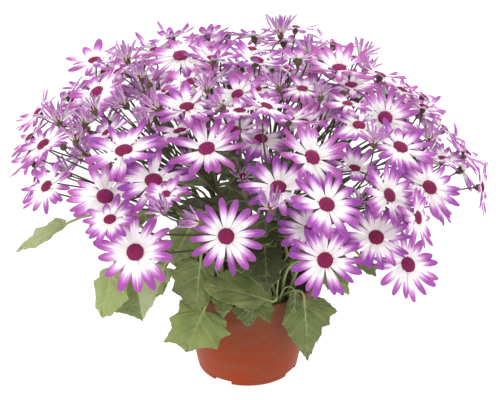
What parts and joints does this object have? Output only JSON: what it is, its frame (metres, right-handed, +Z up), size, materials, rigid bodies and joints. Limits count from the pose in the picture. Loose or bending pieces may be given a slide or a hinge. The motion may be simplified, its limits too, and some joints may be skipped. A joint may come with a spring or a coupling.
{
  "type": "florist cineraria",
  "caption": "Potted florist cineraria: a broad dome of violet and white daisy blooms on forked stems over lobed leaves, in a round terracotta-coloured plastic pot.",
  "frame": {"origin": "middle of the flat pad under the pot, on the surface that the pot stands on", "axes": "+Z up along the pot's axis, -Y to the front, +X to the right as seen from the front"},
  "size_m": [0.4173, 0.4224, 0.3187],
  "materials": {
    "pot": "matte",
    "soil": "matte",
    "bloom": "matte",
    "leaf": "matte"
  },
  "bodies": {
    "root": {"pot": "pot", "soil": "soil", "spray_01": "bloom", "spray_02": "bloom", "spray_03": "bloom", "spray_04": "bloom", "spray_05": "bloom", "spray_06": "bloom", "spray_07": "bloom", "spray_08": "bloom", "spray_09": "bloom", "spray_10": "bloom", "spray_11": "bloom", "spray_12": "bloom", "spray_13": "bloom", "spray_14": "bloom", "leaf_01": "leaf", "leaf_02": "leaf", "leaf_03": "leaf", "leaf_04": "leaf", "leaf_05": "leaf", "leaf_06": "leaf", "leaf_07": "leaf", "leaf_08": "leaf", "leaf_09": "leaf", "leaf_10": "leaf", "leaf_11": "leaf", "leaf_12": "leaf", "leaf_13": "leaf", "leaf_14": "leaf", "leaf_15": "leaf", "leaf_16": "leaf", "leaf_17": "leaf", "leaf_18": "leaf", "leaf_19": "leaf", "leaf_20": "leaf", "leaf_21": "leaf", "leaf_22": "leaf", "leaf_23": "leaf", "leaf_24": "leaf", "leaf_25": "leaf", "leaf_26": "leaf", "leaf_27": "leaf", "leaf_28": "leaf", "leaf_29": "leaf", "leaf_30": "leaf"}
  },
  "joints": []
}
